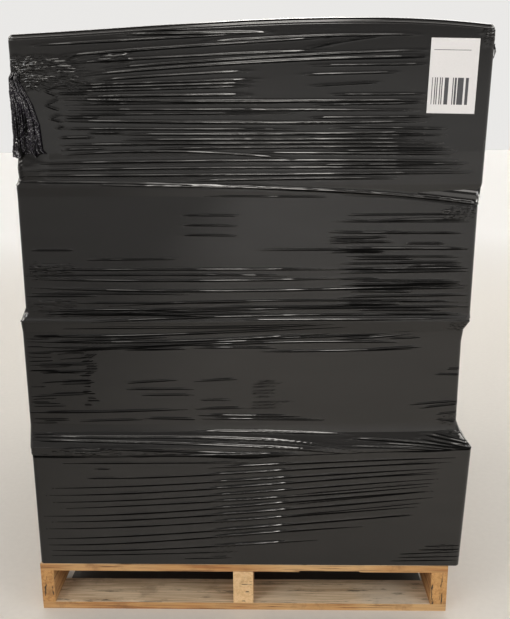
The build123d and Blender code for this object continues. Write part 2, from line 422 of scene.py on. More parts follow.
# Painted shade on the boards' undersides
UNDERSIDE_SHADE = (0.08, 0.05, 0.03)
DARK_FIBRES = (0.22, 0.11, 0.045)
KRAFT = ((0.31, 0.195, 0.105), (0.38, 0.25, 0.14))
KRAFT_FLECK = (0.2, 0.12, 0.06)
PAPER = ((0.70, 0.68, 0.67), (0.78, 0.76, 0.755))
INK = (0.05, 0.05, 0.055)
ZINC = (0.42, 0.41, 0.39)
RUST = (0.16, 0.07, 0.03)
FLOOR = ((0.64, 0.60, 0.545), (0.70, 0.66, 0.60))
FLOOR_FAR = (0.93, 0.91, 0.885)
# Painted shade on the floor deep under the pallet
FLOOR_SHADE_UNDER = (0.06, 0.055, 0.05)
BACKDROP = (0.82, 0.81, 0.795)
DARK = (0.02, 0.02, 0.02)
LAMP_WHITE = (1.0, 0.96, 0.9)

# The room that the gloss shows, from eye level up to overhead
ROOM = [
    (0.0, (0.80, 0.78, 0.75)), (0.05, (0.70, 0.68, 0.65)), (0.14, (0.20, 0.195, 0.19)),
    (0.2, (0.40, 0.39, 0.38)), (0.27, (0.40, 0.39, 0.38)), (0.3, (0.04, 0.04, 0.04)),
    (0.45, (0.04, 0.04, 0.04)), (0.49, (0.16, 0.157, 0.15)), (0.58, (0.16, 0.157, 0.15)),
    (0.61, (0.04, 0.04, 0.04)), (1.0, (0.03, 0.03, 0.03)),
]

# Rows of ceiling lights in it: where each fades in and out, its brightness, and how much
# brighter it is straight ahead of each side of the load
LIGHT_ROWS = (((0.30, 0.32), (0.43, 0.45), 5.0, 14.0), ((0.57, 0.63), (0.76, 0.82), 1.6, 12.0))

# Floor: how far it reaches, and the half size of the painted shade under the pallet
FLOOR_REACH = 30.0
SHADE_UNDER_HALF_SIZE = (0.47, 0.53)

# Lamps: place, height of the target over the origin, size and power
LAMPS = {
    "key_lamp": ((-2.8, -3.6, 3.4), 0.6, (1.6, 1.2), 45),
    "fill_lamp": ((3.2, -2.8, 2.6), 0.7, (1.5, 1.2), 25),
    "back_lamp": ((1.0, 3.6, 3.2), 0.8, (2.0, 1.2), 25),
}


# Shader building

class Sock:
    """A shader value that can be used in a Python expression."""

    def __init__(self, tree, socket):
        self.tree = tree
        self.socket = socket

    def _math(self, operation, *values):
        return self.tree.node("ShaderNodeMath", {"operation": operation}, dict(enumerate(values)))

    def __add__(self, other):
        return self._math("ADD", self, other)

    def __radd__(self, other):
        return self._math("ADD", other, self)

    def __sub__(self, other):
        return self._math("SUBTRACT", self, other)

    def __rsub__(self, other):
        return self._math("SUBTRACT", other, self)

    def __mul__(self, other):
        return self._math("MULTIPLY", self, other)

    def __rmul__(self, other):
        return self._math("MULTIPLY", other, self)

    def __truediv__(self, other):
        return self._math("DIVIDE", self, other)

    def __gt__(self, other):
        return self._math("GREATER_THAN", self, other)

    def __lt__(self, other):
        return self._math("LESS_THAN", self, other)

    def floor(self):
        return self._math("FLOOR", self)

    def fraction(self):
        return self._math("FRACT", self)

    def clip(self):
        return self.tree.node("ShaderNodeClamp", {}, {"Value": self})

    def ramp(self, low, high):
        """0 below low, 1 above high and smooth between."""
        return self.tree.node(
            "ShaderNodeMapRange",
            {"interpolation_type": "SMOOTHSTEP"},
            {"Value": self, "From Min": low, "From Max": high},
        )


class Tree:
    """A node tree to which nodes are added by type, settings and inputs."""

    def __init__(self, node_tree):
        self.nodes = node_tree.nodes
        self.links = node_tree.links
        self.nodes.clear()

    def node(self, kind, settings=None, inputs=None, output=0):
        made = self.nodes.new(kind)
        for name, value in (settings or {}).items():
            if name == "stops":
                self._set_stops(made.color_ramp, value)
            else:
                setattr(made, name, value)
        for name, value in (inputs or {}).items():
            self.feed(made.inputs[name], value)
        if len(made.outputs) > 0:
            return Sock(self, made.outputs[output])

    def feed(self, socket, value):
        if isinstance(value, Sock):
            self.links.new(value.socket, socket)
        elif isinstance(value, tuple) and len(value) == 3 and len(socket.default_value) == 4:
            socket.default_value = (*value, 1.0)
        else:
            socket.default_value = value

    @staticmethod
    def _set_stops(ramp, stops):
        while len(ramp.elements) > 1:
            ramp.elements.remove(ramp.elements[-1])
        for i, (place, colour) in enumerate(stops):
            stop = ramp.elements[0] if i == 0 else ramp.elements.new(place)
            stop.position = place
            stop.color = (*colour, 1.0)

    def mix(self, share, first, second):
        """A colour that goes from first to second."""
        return self.node(
            "ShaderNodeMix",
            {"data_type": "RGBA"},
            {0: share, 6: first, 7: second},
            output=2,
        )

    def place(self, scale=(1, 1, 1), shift=(0, 0, 0), turn=(0, 0, 0)):
        """Object coordinates, scaled, turned and shifted."""
        coordinates = self.node("ShaderNodeTexCoord", output=3)
        return self.node(
            "ShaderNodeMapping",
            {},
            {"Vector": coordinates, "Location": shift, "Rotation": turn, "Scale": scale},
        )

    def split(self, vector):
        """The three numbers of a vector."""
        first = self.node("ShaderNodeSeparateXYZ", {}, {0: vector})
        return [Sock(self, out) for out in first.socket.node.outputs]

    def noise(self, vector, scale, detail=3.0, roughness=0.5, distortion=0.0):
        return self.node(
            "ShaderNodeTexNoise",
            {},
            {
                "Vector": vector,
                "Scale": scale,
                "Detail": detail,
                "Roughness": roughness,
                "Distortion": distortion,
            },
        )

    def bump(self, height, distance, strength=1.0, normal=None):
        inputs = {"Height": height, "Distance": distance, "Strength": strength}
        if normal is not None:
            inputs["Normal"] = normal
        return self.node("ShaderNodeBump", {}, inputs)

    def attribute(self, name):
        return self.node("ShaderNodeAttribute", {"attribute_name": name}, {}, output=2)

    def facing(self):
        """The surface's own direction, before any bump."""
        return self.node("ShaderNodeNewGeometry", output=3)


def material(name, build):
    """A material whose surface is a Principled shader with the inputs that build returns."""
    made = bpy.data.materials.new(name)
    made.use_nodes = True
    tree = Tree(made.node_tree)
    shader = tree.node("ShaderNodeBsdfPrincipled", {}, build(tree))
    tree.node("ShaderNodeOutputMaterial", {}, {"Surface": shader})
    return made


# Finishes

def film_finish(tree, tints=FILM_TINTS):
    """Black stretch film: a sharp gloss over a slightly hazy body, with painted shade that makes
    the creases dark and dull.
    """
    # Painted shade in the creases: a darker colour and less coat where the attribute is high
    crease = tree.attribute("crease").ramp(0.15, 0.85)
    haze = tree.noise(tree.place(scale=(3, 3, 14)), 2.0, detail=4)
    drawn = tree.noise(tree.place(scale=(2, 2, 7)), 1.6, detail=2).ramp(0.45, 0.62)
    fine = tree.noise(tree.place(scale=(5, 5, 150)), 3.0, detail=3) * (0.3 + drawn)
    warmth = tree.noise(tree.place(), 1.3, detail=1)
    body = tree.mix(warmth, *tints)
    return {
        "Base Color": tree.mix(crease, body, CREASE_SHADE_TONE),
        "Roughness": 0.15 + haze * 0.15 + crease * 0.25,
        "IOR": 1.12,
        "Coat Weight": (0.86 + haze * 0.2) * (1.0 - crease),
        "Coat Roughness": 0.03,
        "Coat IOR": 1.52,
        "Normal": tree.bump(fine, 0.0003, 0.14),
    }


RING_STEP = 5 * MM
HEART_BESIDE = 110 * MM
HEART_BELOW = 60 * MM
HEART_REACH = 140 * MM
LEVEL_CRACKS = (9, 9, 60)
UPRIGHT_CRACKS = (70, 70, 11)


class BoardWood:
    """The patterns of a board whose grain runs along X (along=0) or Y (along=1)."""

    def __init__(self, tree, along, seed):
        self.tree = tree
        self.along = along
        self.seed = seed
        self.bend = self.noise((2, 2, 2), 1.5, detail=2)
        self.grain = self.noise(self.drawn_out(38.0, 1.4), 3.0, 5, 0.6, 1.2)
        self.fibres = self.noise(self.drawn_out(160.0, 3.0), 4.0, detail=3)
        self.dirt = self.noise((1, 1, 1), 11.0, detail=5, roughness=0.65)
        self.pores = self.noise((1, 1, 1), 130.0, detail=3, roughness=0.6)

    def drawn_out(self, across, along):
        """Scale of a pattern that is drawn out along the grain."""
        scale = [across, across, across]
        scale[self.along] = along
        return tuple(scale)

    def noise(self, scale, *settings, **named_settings):
        shift = (self.seed * 1.7, self.seed * 0.9, self.seed * 2.3)
        place = self.tree.place(scale=scale, shift=shift)
        return self.tree.noise(place, *settings, **named_settings)

    def sawn(self):
        """The tan of the sawn edges."""
        mix = self.tree.mix
        tone = mix(self.grain.ramp(0.38, 0.62), *SAWN_WOOD)
        tone = mix(self.bend.ramp(0.45, 0.62), tone, SAWN_PALE)
        tone = mix(self.dirt.ramp(0.54, 0.70) * 0.6, tone, SAWN_DIRT)
        return mix(self.fibres.ramp(0.5, 0.6) * self.grain.ramp(0.45, 0.6), tone, SAWN_FIBRES)

    def rings(self):
        """Growth rings: arcs round a heart that lies under and beside the board."""
        place = self.tree.split(self.tree.place())
        beside = place[1 - self.along] - HEART_BESIDE * math.sin(self.seed * 2.1)
        below = place[2] + HEART_BELOW
        radius = (beside * beside + below * below) * (1 / HEART_REACH)
        wave = (radius / RING_STEP + self.bend * 3.0).fraction()
        return wave.ramp(0.2, 0.7) * (1 - wave.ramp(0.86, 1.0))

    def cut_end(self, tones, cracks):
        """The ringed, porous and cracked wood of a cut end."""
        mix = self.tree.mix
        crack = self.noise(cracks, 1.6, 3, 0.6)
        tone = mix((self.rings() * 0.6 + self.pores.ramp(0.4, 0.62) * 0.6).clip(), *tones)
        tone = mix(self.dirt.ramp(0.52, 0.66) * 0.55, tone, END_DIRT)
        return mix(crack.ramp(0.61, 0.65), tone, END_CRACKS)

    def weathered(self):
        """The greyed and stained wood of an upper face."""
        mix = self.tree.mix
        stain = self.noise((9, 42, 42), 1.0, 5, 0.7)
        mould = stain.ramp(0.54, 0.66) * (self.fibres.ramp(0.42, 0.55) + 0.15).clip() * 0.9
        tone = mix(self.grain.ramp(0.36, 0.64), *WEATHERED_WOOD)
        tone = mix(self.bend.ramp(0.5, 0.7), tone, WEATHERED_GREY)
        tone = mix(mould, tone, MOULD)
        return mix(self.dirt.ramp(0.55, 0.7) * 0.45, tone, WEATHERED_DIRT)


def board_finish(along, seed, end_tones=PALE_WOOD, cracks=LEVEL_CRACKS):
    """Sawn softwood: tan on the sawn edges, ringed and cracked on the ends, grey and stained
    on the upper faces, and painted dark below as shade."""

    def build(tree):
        wood = BoardWood(tree, along, seed)
        facing = tree.split(tree.facing())
        ends = (facing[along] * facing[along]).ramp(0.6, 0.9)
        top = facing[2].ramp(0.5, 0.9)
        # Painted shade: faces that point down are darkened
        under = (0 - facing[2]).ramp(0.5, 0.9)
        colour = tree.mix(ends, wood.sawn(), wood.cut_end(end_tones, cracks))
        colour = tree.mix(top, colour, wood.weathered())
        colour = tree.mix(under * 0.75, colour, UNDERSIDE_SHADE)
        colour = tree.mix(wood.fibres.ramp(0.55, 0.75) * 0.4, colour, DARK_FIBRES)
        height = wood.grain * 0.5 + wood.fibres * 0.5 + wood.pores * ends * 0.4
        return {
            "Base Color": colour,
            "Roughness": 0.72 + wood.fibres * 0.18,
            "Normal": tree.bump(height, 0.0012, 0.7),
        }

    return build


def card_finish(tree):
    """Plain kraft corrugated board: faint flutes under a fibrous face."""
    fleck = tree.noise(tree.place(), 320.0, detail=2)
    cloud = tree.noise(tree.place(), 6.0, detail=3)
    flutes = tree.noise(tree.place(scale=(150, 150, 2)), 1.0, detail=1)
    return {
        "Base Color": tree.mix(fleck.ramp(0.5, 0.75) * 0.5, tree.mix(cloud, *KRAFT), KRAFT_FLECK),
        "Roughness": 0.85,
        "Normal": tree.bump(flutes, 0.0004, 0.5),
    }


def label_finish(tree):
    """White label paper with a run of plain printed bars and a rule, which spell nothing."""
    back = Matrix.Rotation(-LABEL_TURN, 3, "Y") @ Vector(LABEL_CENTRE)
    local = tree.place(shift=tuple(-back), turn=(0, -LABEL_TURN, 0))
    x, _, z = tree.split(local)
    left, right, bottom, top = BAR_FIELD
    across = (x > left) * (x < right)
    bars = across * (z > bottom) * (z < top)
    rule = across * (z > RULE_HEIGHTS[0]) * (z < RULE_HEIGHTS[1])
    chance = tree.node(
        "ShaderNodeTexWhiteNoise", {"noise_dimensions": "1D"}, {"W": (x / BAR_STEP).floor()}
    )
    facing = tree.split(tree.facing())[1] < -0.5
    ink = ((chance > 0.47) * bars + rule) * facing
    fleck = tree.noise(tree.place(), 500.0, detail=2)
    return {
        "Base Color": tree.mix(ink.clip(), tree.mix(fleck, *PAPER), INK),
        "Roughness": 0.55,
        "Normal": tree.bump(fleck, 0.0001, 0.3),
    }


def nail_finish(tree):
    """Dull zinc nail heads with a little rust."""
    rust = tree.noise(tree.place(), 220.0, detail=4)
    rusty = rust.ramp(0.45, 0.65)
    return {
        "Base Color": tree.mix(rusty, ZINC, RUST),
        "Metallic": 1.0 - rusty,
        "Roughness": 0.45 + rust * 0.3,
    }


# Film form

class Outline:
    """The columns of a film grid round the load, from the middle of the front left corner.
    The end density says how much closer they lie near the corners, from 0 to under 1."""

    def __init__(self, counts, end_density):
        turns = [45 * i / CORNER_STEPS for i in range(CORNER_STEPS)]
        columns = []
        for side in range(4):
            count = counts[side % 2]
            columns += [(side, 0.0, turn - 45) for turn in turns]
            for t in (i / count for i in range(count)):
                share = t - end_density * math.sin(2 * math.pi * t) / (2 * math.pi)
                columns.append((side, share, 0.0))
            columns += [(side, 1.0, turn) for turn in turns]
        side, self.share, turn = np.array(columns).T
        self.side = side.astype(int)
        angle = np.radians(turn + 90.0 * side - 90.0)
        self.out = np.stack([np.cos(angle), np.sin(angle)], axis=-1)
        self.steps = tuple(count + 2 * CORNER_STEPS for count in counts)

    def stand_out(self, x, y, z, out):
        """Places that stand out from the columns at x and y."""
        return np.stack([x + self.out[:, 0] * out, y + self.out[:, 1] * out, z], axis=-1)


class FilmForm:
    """The film's smooth form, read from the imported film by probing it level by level."""

    def __init__(self, node):
        mesh = node.data
        corners = [v.co.copy() for v in mesh.vertices]
        self.tree = BVHTree.FromPolygons(corners, [tuple(p.vertices) for p in mesh.polygons])
        low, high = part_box(node.name)
        self.low, self.high = Vector(low), Vector(high)
        self.middle = (self.low + self.high) / 2
        self.levels = np.arange(self.low.z + 0.5 * MM, WALL_TOP, MM)
        self.walls = np.array([self._walls(float(z)) for z in self.levels]).T
        left, right = self.walls[0][-1], self.walls[1][-1]
        self.crown_places = np.linspace(left + 16 * MM, right - 16 * MM, 80)
        self.crown_heights = np.array([
            self._probe((float(x), self.middle.y, self.high.z + FAR), (0, 0, -1)).z
            for x in self.crown_places
        ])

    def _probe(self, start, direction):
        place, _, _, _ = self.tree.ray_cast(Vector(start), Vector(direction))
        return place

    def _walls(self, z):
        """Left, right, front and back of the film at height z."""
        mid = self.middle
        left = self._probe((self.low.x - FAR, mid.y, z), (1, 0, 0)).x
        right = self._probe((self.high.x + FAR, mid.y, z), (-1, 0, 0)).x
        front = self._probe((mid.x, self.low.y - FAR, z), (0, 1, 0)).y
        back = self._probe((mid.x, self.high.y + FAR, z), (0, -1, 0)).y
        return left, right, front, back

    def walls_at(self, z):
        return [np.interp(z, self.levels, wall) for wall in self.walls]

    def crown(self, x):
        """Height of the lid over places on the front's width."""
        return np.interp(x, self.crown_places, self.crown_heights)

    def grid(self, outline, z):
        """Places of an outline's columns on the film, for heights z of rows and columns."""
        left, right, front, back = self.walls_at(z)
        r = CORNER_RADIUS
        side, share = outline.side, outline.share
        x0 = np.choose(side, [left + r, right - r, right - r, left + r])
        x1 = np.choose(side, [right - r, right - r, left + r, left + r])
        y0 = np.choose(side, [front + r, front + r, back - r, back - r])
        y1 = np.choose(side, [front + r, back - r, back - r, front + r])
        x = x0 + (x1 - x0) * share + r * outline.out[:, 0]
        y = y0 + (y1 - y0) * share + r * outline.out[:, 1]
        return x, y

    def places(self, outline, z, out):
        """Places that stand out from the film at an outline's columns and heights z."""
        return outline.stand_out(*self.grid(outline, z), z, out)

    def run(self, outline, z):
        """How far along the film the columns stand at height z, and its whole girth. On the
        front this is close to X, and it grows to the right round the load."""
        x, y = self.grid(outline, np.full((1, len(outline.side)), z))
        steps = np.hypot(np.diff(x[0], append=x[0, 0]), np.diff(y[0], append=y[0, 0]))
        return np.concatenate([[0.0], np.cumsum(steps)[:-1]]) + x[0, 0], steps.sum()

    def around_corner(self, along, z, out, right_side=False):
        """Places that stand out from the film near a front corner, for distances along it."""
        left, right, front, _ = self.walls_at(z)
        r = CORNER_RADIUS
        wall = right if right_side else left
        sign = 1.0 if right_side else -1.0
        past = (along - (wall - sign * r)) * sign
        angle = np.clip(past / r, 0.0, math.pi / 2)
        beyond = np.maximum(past - r * math.pi / 2, 0.0)
        flat = np.minimum(past, 0.0)
        x = wall - sign * r + sign * (flat + (r + out) * np.sin(angle))
        y = front + r - (r + out) * np.cos(angle) + beyond
        return np.stack([x, y, z + 0 * x], axis=-1)


# Wrinkles

def smooth_noise(u, v, seed):
    """Smooth random numbers from 0 to 1 over a plane, about one change to a unit."""
    table = np.random.default_rng(seed).random((64, 64))
    i, j = np.floor(u).astype(int), np.floor(v).astype(int)
    s, t = u - i, v - j
    s, t = s * s * (3 - 2 * s), t * t * (3 - 2 * t)
    a, b = table[j % 64, i % 64], table[j % 64, (i + 1) % 64]
    c, d = table[(j + 1) % 64, i % 64], table[(j + 1) % 64, (i + 1) % 64]
    return (a * (1 - s) + b * s) * (1 - t) + (c * (1 - s) + d * s) * t


def ridged_noise(u, v, seed):
    """Sharp random ridges, from 0 to 1."""
    coarse = 1 - np.abs(2 * smooth_noise(u, v, seed) - 1)
    fine = 1 - np.abs(2 * smooth_noise(2.3 * u + 5, 2.3 * v, seed + 1) - 1)
    return coarse ** 2 * 0.65 + fine ** 2 * 0.35


def ease(value, low, high):
    """0 below low, 1 above high and smooth between."""
    t = np.clip((value - low) / (high - low), 0.0, 1.0)
    return t * t * (3 - 2 * t)


def soft_edged(value, low, high, share):
    """1 between low and high, and smooth down to 0 over a share of the way at each end."""
    edge = share * (high - low)
    return ease(value, low, low + edge) * (1 - ease(value, high - edge, high))


def metres(values):
    """Values in millimetres as metres."""
    return tuple(value * MM for value in values)


class Relief:
    """Heights that wrinkles add to a wind of film."""

    def __init__(self, run, girth, z):
        self.run = run
        self.girth = girth
        self.z = z
        self.ridges = np.zeros_like(z)
        self.swell = np.zeros_like(z)
        # Painted shade lines at the feet of the folds
        self.lines = np.zeros_like(z)

    def _window(self, left, right, bottom, top):
        """Blocks of the grid that lie in an area, with their places along the film."""
        for turn in (0.0, self.girth, -self.girth):
            columns = np.flatnonzero((self.run > left + turn) & (self.run < right + turn))
            if len(columns) == 0:
                continue
            z = self.z[:, columns]
            rows = np.flatnonzero(((z > bottom) & (z < top)).any(axis=1))
            if len(rows) > 0:
                yield np.ix_(rows, columns), self.run[columns] - turn

    def _follow(self, points, reach, bends):
        """Blocks of the grid near a smooth path through points (along, height): each with its
        places along the film, their share of the path, and the path's height there."""
        start, end = points[0][0], points[-1][0]
        path = np.polyfit(*zip(*points), min(len(points) - 1, bends))
        heights = np.polyval(path, np.linspace(start, end, 12))
        for block, along in self._window(start, end, heights.min() - reach, heights.max() + reach):
            yield block, along, (along - start) / (end - start), np.polyval(path, along)

    def fold(self, points, width, tall, ends=0.2, beads=0.0, crest=0.0):
        """A taut fold through points, with its steeper flank below and a painted shade line at
        that flank's foot. It stands higher near the front's middle by its crest."""
        for block, along, t, line in self._follow(points, 4 * width, 3):
            sway = smooth_noise(along * 22 + 7, 0 * along + 90 * points[0][0], 3)
            grown = tall * np.clip(np.minimum(t, 1 - t) / ends, 0, 1) ** 0.7 * (0.7 + 0.3 * sway)
            if beads > 0:
                grown = grown * (1 - beads * smooth_noise(along * 160, 0 * along, 5))
            half_line = np.maximum(SHADE_LINE_SHARE * width * grown / tall, 0.01 * MM)
            below = np.abs(self.z[block] - line + 1.4 * FOLD_SKEW * width)
            window = np.exp(-((along - CREST_MIDDLE) / CREST_REACH) ** 6)
            # The painted shade line below the fold, fainter where its crest stands higher
            drawn = np.clip(1.4 - below / half_line, 0, 1) * (1 - 0.85 * window * min(crest, 1))
            self.lines[block] = np.maximum(self.lines[block], drawn)
            grown = grown * (1 + crest * window)
            off = (self.z[block] - line) / width
            off = np.where(off > 0, off, off / FOLD_SKEW)
            ridge = grown * np.exp(-np.abs(off) ** 1.3)
            self.ridges[block] = np.maximum(self.ridges[block], ridge)

    def bulge(self, points, width, tall):
        """A broad soft swelling through points."""
        for block, _, t, line in self._follow(points, 3 * width, 2):
            grown = tall * np.sin(math.pi * t) ** 0.6
            self.swell[block] += grown * np.exp(-((self.z[block] - line) / width) ** 2)

    def crumple(self, area, grain, tall, seed):
        """A patch of crushed film over an area (left, right, bottom, top)."""
        left, right, bottom, top = area
        for block, along in self._window(*area):
            z = self.z[block]
            u, v = along / grain[0], z / grain[1]
            soft = soft_edged(along, left, right, 0.25) * soft_edged(z, bottom, top, 0.3)
            soft = soft * (0.35 + 0.65 * ease(smooth_noise(u * 0.4, v * 0.4, seed + 5), 0.3, 0.7))
            patch = tall * soft * ridged_noise(u + 0 * v, v, seed)
            self.ridges[block] = np.maximum(self.ridges[block], patch)

    def total(self):
        return self.swell + self.ridges


def scatter_folds(relief, rng, area, count, length, slope, width, tall):
    """Folds spread at random over an area, within given ranges."""
    left, right, bottom, top = area
    for _ in range(count):
        span = rng.uniform(*length)
        middle = rng.uniform(left, right)
        z = rng.uniform(bottom, top)
        rise = rng.uniform(*slope) * span
        bow = rng.uniform(-0.012, 0.012) * span
        size = rng.uniform(0.0, 1.0)
        start, end = max(middle - span / 2, left), min(middle + span / 2, right)
        if end - start > SHORTEST_FOLD:
            relief.fold(
                [(start, z - rise / 2), ((start + end) / 2, z + bow), (end, z + rise / 2)],
                width[0] + (width[1] - width[0]) * size,
                tall[0] + (tall[1] - tall[0]) * size,
            )


def fan_folds(relief, rng, corner, count, spread, length, width, tall):
    """Folds that run together at a corner, spread over directions (slopes) away from it."""
    along, z = corner
    for i in range(count):
        slope = spread[0] + (spread[1] - spread[0]) * (i + rng.uniform(0.2, 0.8)) / count
        reach = rng.uniform(*length)
        near = (along, z + slope * 0.02)
        far = (along + reach, z + slope * abs(reach))
        middle = ((near[0] + far[0]) / 2, (near[1] + far[1]) / 2 + rng.uniform(-3, 3) * MM)
        points = sorted([near, middle, far])
        relief.fold(points, rng.uniform(*width), rng.uniform(*tall), ends=0.3)


# Meshes

def grid_faces(rows, columns, first=0, wrap=False, flip=False):
    """Quads of a grid of vertices, each turned the same way."""
    j = np.arange(rows - 1)[:, None]
    i = np.arange(columns if wrap else columns - 1)[None, :]
    k = (i + 1) % columns
    a, b = j * columns + i, j * columns + k
    c, d = (j + 1) * columns + k, (j + 1) * columns + i
    quads = np.stack([a, d, c, b] if flip else [a, b, c, d], axis=-1)
    return quads.reshape(-1, 4) + first


def strip_faces(first, second):
    """Quads between two rows of vertices given by number."""
    first, second = np.asarray(first), np.asarray(second)
    return np.stack([first[:-1], first[1:], second[1:], second[:-1]], axis=-1)


def ring(first, count):
    """The numbers of a closed ring of vertices, with the first one again at the end."""
    return first + np.append(np.arange(count), 0)


def make_object(name, vertices, faces, finish, values=None):
    """A smooth mesh object of quads, at the origin, with named values at its vertices."""
    mesh = bpy.data.meshes.new(name)
    vertices = np.asarray(vertices, dtype=np.float32)
    faces = np.asarray(faces, dtype=np.int32)
    mesh.vertices.add(len(vertices))
    mesh.vertices.foreach_set("co", vertices.ravel())
    mesh.loops.add(faces.size)
    mesh.loops.foreach_set("vertex_index", faces.ravel())
    mesh.polygons.add(len(faces))
    starts = np.arange(0, faces.size, faces.shape[1], dtype=np.int32)
    mesh.polygons.foreach_set("loop_start", starts)
    mesh.polygons.foreach_set("use_smooth", np.ones(len(faces), dtype=bool))
    mesh.update(calc_edges=True)
    for value_name, numbers in (values or {}).items():
        stored = mesh.attributes.new(value_name, "FLOAT", "POINT")
        stored.data.foreach_set("value", np.asarray(numbers, dtype=np.float32).ravel())
    made = bpy.data.objects.new(name, mesh)
    bpy.context.scene.collection.objects.link(made)
    mesh.materials.append(finish)
    return made


def film_piece(name, vertices, faces, finish, crease):
    """A piece of film that stands, with the others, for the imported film."""
    made = make_object(name, vertices, faces, finish, {"crease": crease})
    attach(made, "root")
    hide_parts("stretch_film")
    return made


def flap_piece(name, points, crease, finish):
    """A free flap of film: a thin closed shell whose outer face is a grid of points, given from
    the top row down with their painted shade in the creases."""
    points, crease = points[::-1], crease[::-1]
    across = np.gradient(points, axis=1)
    down = np.gradient(points, axis=0)
    normal = np.cross(across, down)
    normal /= np.maximum(np.linalg.norm(normal, axis=-1, keepdims=True), 1e-9)
    rows, columns = points.shape[:2]
    inner = points - normal * FLAP_WALL
    count = rows * columns
    numbers = np.arange(count).reshape(rows, columns)
    rim = np.concatenate([numbers[0, :], numbers[1:, -1], numbers[-1, -2::-1], numbers[-2::-1, 0]])
    faces = np.concatenate([
        grid_faces(rows, columns),
        grid_faces(rows, columns, first=count, flip=True),
        strip_faces(rim + count, rim),
    ])
    vertices = np.concatenate([points.reshape(-1, 3), inner.reshape(-1, 3)])
    return film_piece(name, vertices, faces, finish, np.append(crease.ravel(), np.zeros(count)))


# Film winds

def edge_line(run, girth, wind):
    """Height of a wind's lower edge at each column."""
    knots = np.array(WIND_EDGES[wind])
    return np.interp(run, knots[:, 0], knots[:, 1] * MM, period=girth)


def wind_limits(form, outline, run, girth, wind):
    """Heights at each column of a wind's lower edge, of the next wind's edge, which covers it,
    and of its own upper edge."""
    if wind == FIRST_WIND:
        bottom = np.full(len(run), form.low.z)
    else:
        bottom = edge_line(run, girth, wind)
    if wind == LAST_WIND:
        x, _ = form.grid(outline, np.full((1, len(run)), WINDS[wind].middle))
        top = form.crown(x[0]) - LID_EDGE_RADIUS - 2 * MM
        return bottom, top + FAR, top
    cover = edge_line(run, girth, wind + 1)
    return bottom, cover, cover + OVERLAP


def run_swing(run, girth):
    """How the film's run swings up and down round the load, from -1 to 1: it climbs along the
    front, and swings back and forth round the other sides."""
    left, right, back_right, back_left = RUN_CORNERS
    width = right - left
    inner = (left + width * 0.35, left + width * 0.65)
    places = (left, *inner, right, back_right, back_left, girth + left)
    return np.interp(run, places, (-1.0, -0.55, 0.15, 1.0, -1.0, 1.0, -1.0))


def add_front_folds(relief, wind):
    """The front's own long folds."""
    style = WINDS[wind]
    for width, tall, *points in FRONT_FOLDS[wind]:
        path = [metres(point) for point in points]
        width, tall = width * style.fold_width * MM, tall * style.fold_height * MM
        relief.fold(path, width, tall, crest=style.crest)


def add_front_patches(relief, wind):
    """The front's crushed patches and scattered short folds."""
    for area, grain, tall, seed in CRUSHED_PATCHES[wind]:
        relief.crumple(metres(area), metres(grain), tall * MM, seed)
    if wind not in SHORT_FOLDS:
        return
    rng = np.random.default_rng(SHORT_FOLD_SEEDS[wind])
    if wind == TICKED_WIND:
        add_ticks(relief, rng)
    for area, count, length, slope, width, tall in SHORT_FOLDS[wind]:
        ranges = (metres(length), slope, metres(width), metres(tall))
        scatter_folds(relief, rng, metres(area), count, *ranges)


def add_ticks(relief, rng):
    """A column of short level ticks near the front's left edge."""
    for z in np.arange(0.545, 0.685, 9 * MM):
        left = rng.uniform(-0.380, -0.364)
        z = z + rng.uniform(-2.5, 2.5) * MM
        right = left + rng.uniform(18, 34) * MM
        relief.fold([(left, z), (right, z)], rng.uniform(1.8, 3) * MM, 0.8 * MM)


def add_rolled_edge(relief):
    """The last wind's lower edge on the front, rolled up and beaded, and the film that stands
    out over its left end."""
    edge = [(x, z * MM + 2.5 * MM) for x, z in WIND_EDGES[LAST_WIND][2:6]]
    relief.fold(edge, 3.2 * MM, 3.4 * MM, ends=0.02, beads=0.7)
    relief.bulge([(-0.58, 1.096), (-0.42, 1.096)], 26 * MM, 4.5 * MM)


def group_folds(relief, rng, span, z, count, slope):
    """Long folds that run close to each other over most of a side, with a smooth stretch
    above and below the group."""
    left, right = span
    width = right - left
    for _ in range(count):
        z += rng.uniform(7, 15) * MM
        start = left + 0.4 * width * rng.uniform(0, 1) ** 2 + 0.02
        end = right - 0.4 * width * rng.uniform(0, 1) ** 2 - 0.02
        rise = (slope + rng.uniform(-0.008, 0.008)) * (end - start)
        bow = rng.uniform(-4, 4) * MM
        points = [(start, z - rise / 2), ((start + end) / 2, z + bow), (end, z + rise / 2)]
        size = rng.uniform(0.6, 1.0)
        relief.fold(points, 2.6 * MM * size, 1.7 * MM * size)


def wrinkle_other_sides(relief, wind, low, high):
    """The folds and crushed ledges of one wind on the sides beside and behind the front, and
    the fans of folds at its corners."""
    rng = np.random.default_rng(40 + wind)
    style = WINDS[wind]
    ledges = (low - 14 * MM, low + style.ledge), (high - 40 * MM, high + 8 * MM)
    for span, lean in OTHER_SIDES:
        slope = style.slope * lean
        for group in range(style.groups):
            start = low + (high - low) * (group + rng.uniform(0.05, 0.4)) / style.groups
            group_folds(relief, rng, span, start, int(rng.integers(4, 9)), slope)
        slopes = (slope - 0.015, slope + 0.015)
        scatter_folds(relief, rng, (*span, low, high), 14, (0.1, 0.4), slopes, FINE, FLAT)
        for ledge, heights in enumerate(ledges):
            area = (*span, *heights)
            scatter_folds(relief, rng, area, 9, (0.15, 0.8), slopes, BROAD, TALL)
            relief.crumple(area, metres((60, 8)), 3.0 * MM, 70 + 2 * wind + ledge)
    for corner, ways in FAN_CORNERS:
        for z in (low + 20 * MM, high - 20 * MM):
            for way in ways:
                reach = tuple(sorted((way * 0.06, way * 0.26)))
                fan_folds(relief, rng, (corner, z), 4, (-0.16, 0.16), reach, FINE, TALL)
        for way in ways:
            beside = (*sorted((corner, corner + way * 0.08)), low, high)
            scatter_folds(relief, rng, beside, 8, (0.04, 0.1), (-0.05, 0.05), FINE, FLAT)


